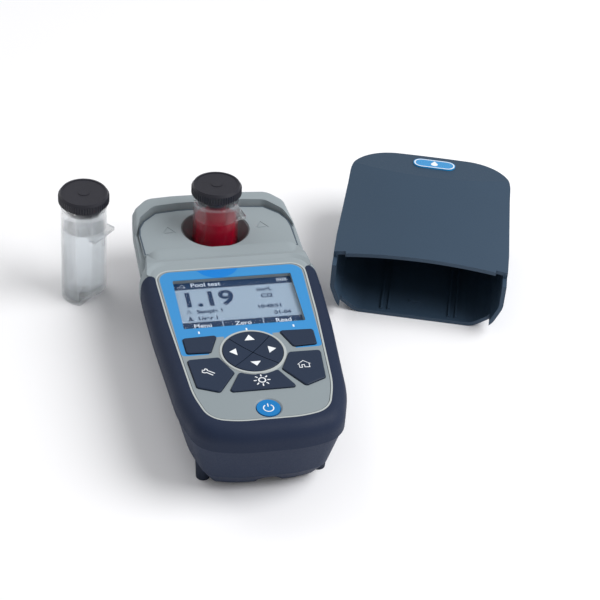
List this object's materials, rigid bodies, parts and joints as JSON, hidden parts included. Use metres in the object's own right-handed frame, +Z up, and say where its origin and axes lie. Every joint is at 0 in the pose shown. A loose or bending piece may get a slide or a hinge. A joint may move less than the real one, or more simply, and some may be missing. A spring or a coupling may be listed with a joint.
{
  "type": "digital water tester",
  "caption": "Handheld pool and spa water colour tester with display and keypad, a sample cell in its tilted well, a spare cell and a hooded light shield.",
  "frame": {"origin": "middle of the set's footprint, on the table", "axes": "+X across the tester towards the light shield, +Y from the keypad end to the cell end, +Z up"},
  "size_m": [0.2612, 0.2312, 0.0723],
  "materials": {
    "soft_grip": "matt soft-touch",
    "grey_case": "fine satin texture",
    "panel_grey": "satin",
    "silver_trim": "satin",
    "blue_label": "satin print",
    "clear_window": "clear",
    "display": "satin",
    "black_rubber": "matt",
    "circuit_board": "solder mask",
    "brass_post": "plain",
    "navy_case": "fine matt texture",
    "steel": "plain",
    "foot_rubber": "matt",
    "battery": "printed sleeve",
    "contact_metal": "nickel plated",
    "smoky_plastic": "smoky",
    "black_plastic": "satin",
    "badge_blue": "gloss",
    "key_blue": "satin",
    "key_navy": "satin",
    "cell_clear": "clear",
    "red_liquid": "clear tinted liquid",
    "clear_liquid": "clear liquid"
  },
  "bodies": {
    "tester": {"batteries": "battery", "battery_contacts": "contact_metal", "battery_cover": "navy_case", "board_posts": "brass_post", "case_screws": "steel", "cell_deck": "grey_case", "cell_well": "black_plastic", "cover_gasket": "black_rubber", "cover_screws": "steel", "direction_ring": "silver_trim", "display_overlay": "blue_label", "display_window": "clear_window", "grip_overmold": "soft_grip", "housing_gasket": "black_rubber", "key_panel": "panel_grey", "keypad_mat": "black_rubber", "lamp_board": "circuit_board", "lamp_module": "black_plastic", "lcd_module": "display", "lower_shell": "navy_case", "main_board": "circuit_board", "panel_trim": "silver_trim", "rubber_feet": "foot_rubber", "sensor_board": "circuit_board", "sensor_module": "black_plastic", "upper_shell": "grey_case", "well_collar": "smoky_plastic"},
    "down_key_body": {"down_key": "key_navy"},
    "home_key_body": {"home_key": "key_navy"},
    "lamp_key_body": {"lamp_key": "key_navy"},
    "left_key_body": {"left_key": "key_navy"},
    "power_key_body": {"power_key": "key_blue"},
    "right_key_body": {"right_key": "key_navy"},
    "settings_key_body": {"settings_key": "key_navy"},
    "soft_key_left_body": {"soft_key_left": "key_navy"},
    "soft_key_right_body": {"soft_key_right": "key_navy"},
    "up_key_body": {"up_key": "key_navy"},
    "sample_cell": {"cell_glass": "cell_clear", "cell_liquid": "red_liquid"},
    "sample_plug": {"cell_plug": "black_plastic"},
    "sample_screw_cap": {"cell_screw_cap": "black_plastic"},
    "spare_cell": {"spare_glass": "cell_clear", "spare_liquid": "clear_liquid"},
    "spare_plug_body": {"spare_plug": "black_plastic"},
    "spare_screw_cap_body": {"spare_screw_cap": "black_plastic"},
    "shield": {"light_shield": "navy_case", "shield_badge": "badge_blue"}
  },
  "joints": [
    {"name": "down_key_press", "type": "slide", "parent": "tester", "child": "down_key_body", "axis": [0, 0, -1], "range_m": [0, 0.0006], "stiffness_N_per_m": 300, "springref_m": -0.0005},
    {"name": "home_key_press", "type": "slide", "parent": "tester", "child": "home_key_body", "axis": [0, 0, -1], "range_m": [0, 0.0006], "stiffness_N_per_m": 300, "springref_m": -0.0005},
    {"name": "lamp_key_press", "type": "slide", "parent": "tester", "child": "lamp_key_body", "axis": [0, 0, -1], "range_m": [0, 0.0006], "stiffness_N_per_m": 300, "springref_m": -0.0005},
    {"name": "left_key_press", "type": "slide", "parent": "tester", "child": "left_key_body", "axis": [0, 0, -1], "range_m": [0, 0.0006], "stiffness_N_per_m": 300, "springref_m": -0.0005},
    {"name": "power_key_press", "type": "slide", "parent": "tester", "child": "power_key_body", "axis": [0, 0, -1], "range_m": [0, 0.0006], "stiffness_N_per_m": 300, "springref_m": -0.0005},
    {"name": "right_key_press", "type": "slide", "parent": "tester", "child": "right_key_body", "axis": [0, 0, -1], "range_m": [0, 0.0006], "stiffness_N_per_m": 300, "springref_m": -0.0005},
    {"name": "settings_key_press", "type": "slide", "parent": "tester", "child": "settings_key_body", "axis": [0, 0, -1], "range_m": [0, 0.0006], "stiffness_N_per_m": 300, "springref_m": -0.0005},
    {"name": "soft_key_left_press", "type": "slide", "parent": "tester", "child": "soft_key_left_body", "axis": [0, 0, -1], "range_m": [0, 0.0006], "stiffness_N_per_m": 300, "springref_m": -0.0005},
    {"name": "soft_key_right_press", "type": "slide", "parent": "tester", "child": "soft_key_right_body", "axis": [0, 0, -1], "range_m": [0, 0.0006], "stiffness_N_per_m": 300, "springref_m": -0.0005},
    {"name": "up_key_press", "type": "slide", "parent": "tester", "child": "up_key_body", "axis": [0, 0, -1], "range_m": [0, 0.0006], "stiffness_N_per_m": 300, "springref_m": -0.0005},
    {"name": "sample_cell_lift", "type": "slide", "parent": "tester", "child": "sample_cell", "axis": [0, 0.0741, 0.9973], "range_m": [0, 0.045]},
    {"name": "spare_cell_lift", "type": "slide", "parent": "tester", "child": "spare_cell", "axis": [0, 0, 1], "range_m": [0, 0.06]},
    {"name": "light_shield_lift", "type": "slide", "parent": "tester", "child": "shield", "axis": [0, 0, 1], "range_m": [0, 0.08]},
    {"name": "sample_plug_rise", "type": "slide", "parent": "sample_cell", "child": "sample_plug", "axis": [0, 0.0741, 0.9973], "range_m": [0, 0.0061]},
    {"name": "sample_cap_twist", "type": "hinge", "parent": "sample_plug", "child": "sample_screw_cap", "pos_m": [-0.04483, 0.05619, 0.0426], "axis": [0, 0.0741, 0.9973], "range_deg": [0, 720]},
    {"name": "spare_plug_rise", "type": "slide", "parent": "spare_cell", "child": "spare_plug_body", "axis": [0, 0, 1], "range_m": [0, 0.0061]},
    {"name": "spare_cap_twist", "type": "hinge", "parent": "spare_plug_body", "child": "spare_screw_cap_body", "pos_m": [-0.11683, 0.06119, 0.06], "axis": [0, 0, 1], "range_deg": [0, 720]}
  ],
  "couplings": [
    {"joint": "sample_plug_rise", "follows": "sample_cap_twist", "m_per_rad": 0.00047746},
    {"joint": "spare_plug_rise", "follows": "spare_cap_twist", "m_per_rad": 0.00047746}
  ]
}
